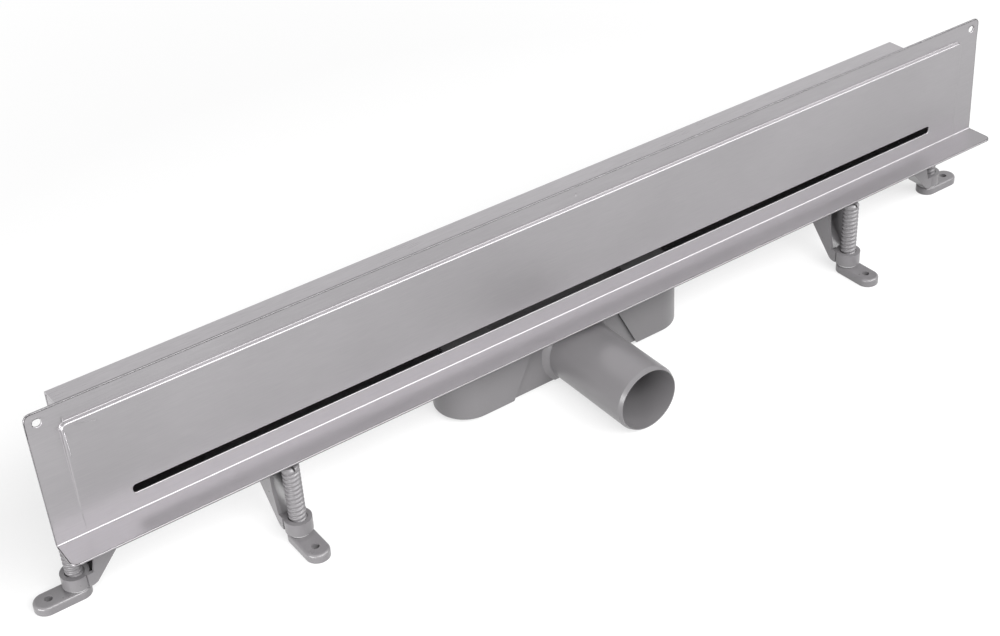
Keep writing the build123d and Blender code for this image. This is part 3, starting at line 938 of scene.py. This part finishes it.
class DRAIN_OT_spindles(bpy.types.Operator):
    """Model the four threaded spindles with their driver slots"""

    bl_idname = "drain.spindles"
    bl_label = "Spindles"

    def execute(self, context):
        for place, direction in FEET.items():
            node = f"spindle_{place}"
            low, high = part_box(node)
            centre = ((low.x + high.x) / 2, (low.y + high.y) / 2)
            radius = (high.x - low.x) / 2
            screw = turned_mesh(node, *threaded_spindle(centre, low.z, high.z, radius))
            half = (2 * radius, DRIVER_SLOT_WIDTH / 2, DRIVER_SLOT_DEPTH)
            cutter = box_mesh("slot cutter", (*centre, high.z), half, direction)
            mesh = cut_away(screw, cutter)
            mesh.name = f"threaded_spindle_{place}"
            mesh.shade_smooth()
            mesh.set_sharp_from_angle(angle=SCREW_SHARP_ANGLE)
            piece = new_piece(f"threaded_spindle_{place}", mesh, "spindle", node)
            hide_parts(node)
        return {"FINISHED"}


class DRAIN_OT_pads(bpy.types.Operator):
    """Finish the four foot pads and their thrust washers"""

    bl_idname = "drain.pads"
    bl_label = "Pads and washers"

    def execute(self, context):
        for place in FEET:
            dress(f"pad_{place}", "foot_plastic")
            dress(f"washer_{place}", "washer")
        return {"FINISHED"}


class DRAIN_OT_studio(bpy.types.Operator):
    """Build the floor, the lamps and the camera"""

    bl_idname = "drain.studio"
    bl_label = "Studio"

    def execute(self, context):
        scene = context.scene
        studio = scene.drain_studio
        mesh = floor_mesh()
        mesh.materials.append(floor_material(studio.floor_color))
        floor = bpy.data.objects.new("studio_floor", mesh)
        scene.collection.objects.link(floor)
        keep_under_feet(floor)
        scene.world = studio_world(studio.fill)
        for name, (place, size, share) in SOFT_BOXES.items():
            soft_box(name, place, size, share * studio.key_power)
        scene.camera = photo_camera(studio.lens)
        scene.view_settings.view_transform = "Standard"
        return {"FINISHED"}


class DRAIN_PT_sidebar(bpy.types.Panel):
    """Settings and steps of the wall drain"""

    bl_idname = "DRAIN_PT_sidebar"
    bl_label = "Linear Wall Drain"
    bl_space_type = "VIEW_3D"
    bl_region_type = "UI"
    bl_category = "Drain"

    def draw(self, context):
        layout = self.layout
        for name in SETTINGS:
            settings = getattr(context.scene, name)
            column = layout.column(align=True)
            for label in settings.__annotations__:
                column.prop(settings, label)
        for operator in OPERATORS:
            layout.operator(operator.bl_idname)


SETTINGS = {
    "drain_steel": DrainSteelSettings,
    "drain_plastic": DrainPlasticSettings,
    "drain_thread": DrainThreadSettings,
    "drain_studio": DrainStudioSettings,
}
OPERATORS = (
    DRAIN_OT_front_plate,
    DRAIN_OT_channel,
    DRAIN_OT_trap,
    DRAIN_OT_nuts,
    DRAIN_OT_brackets,
    DRAIN_OT_spindles,
    DRAIN_OT_pads,
    DRAIN_OT_studio,
)


def register():
    for name, settings in SETTINGS.items():
        bpy.utils.register_class(settings)
        setattr(bpy.types.Scene, name, bpy.props.PointerProperty(type=settings))
    for operator in OPERATORS:
        bpy.utils.register_class(operator)
    bpy.utils.register_class(DRAIN_PT_sidebar)


def unregister():
    bpy.utils.unregister_class(DRAIN_PT_sidebar)
    for operator in reversed(OPERATORS):
        bpy.utils.unregister_class(operator)
    for name, settings in reversed(SETTINGS.items()):
        delattr(bpy.types.Scene, name)
        bpy.utils.unregister_class(settings)


def main():
    register()
    for operator in OPERATORS:
        group, step = operator.bl_idname.split(".")
        getattr(getattr(bpy.ops, group), step)()


if __name__ == "__main__":
    main()
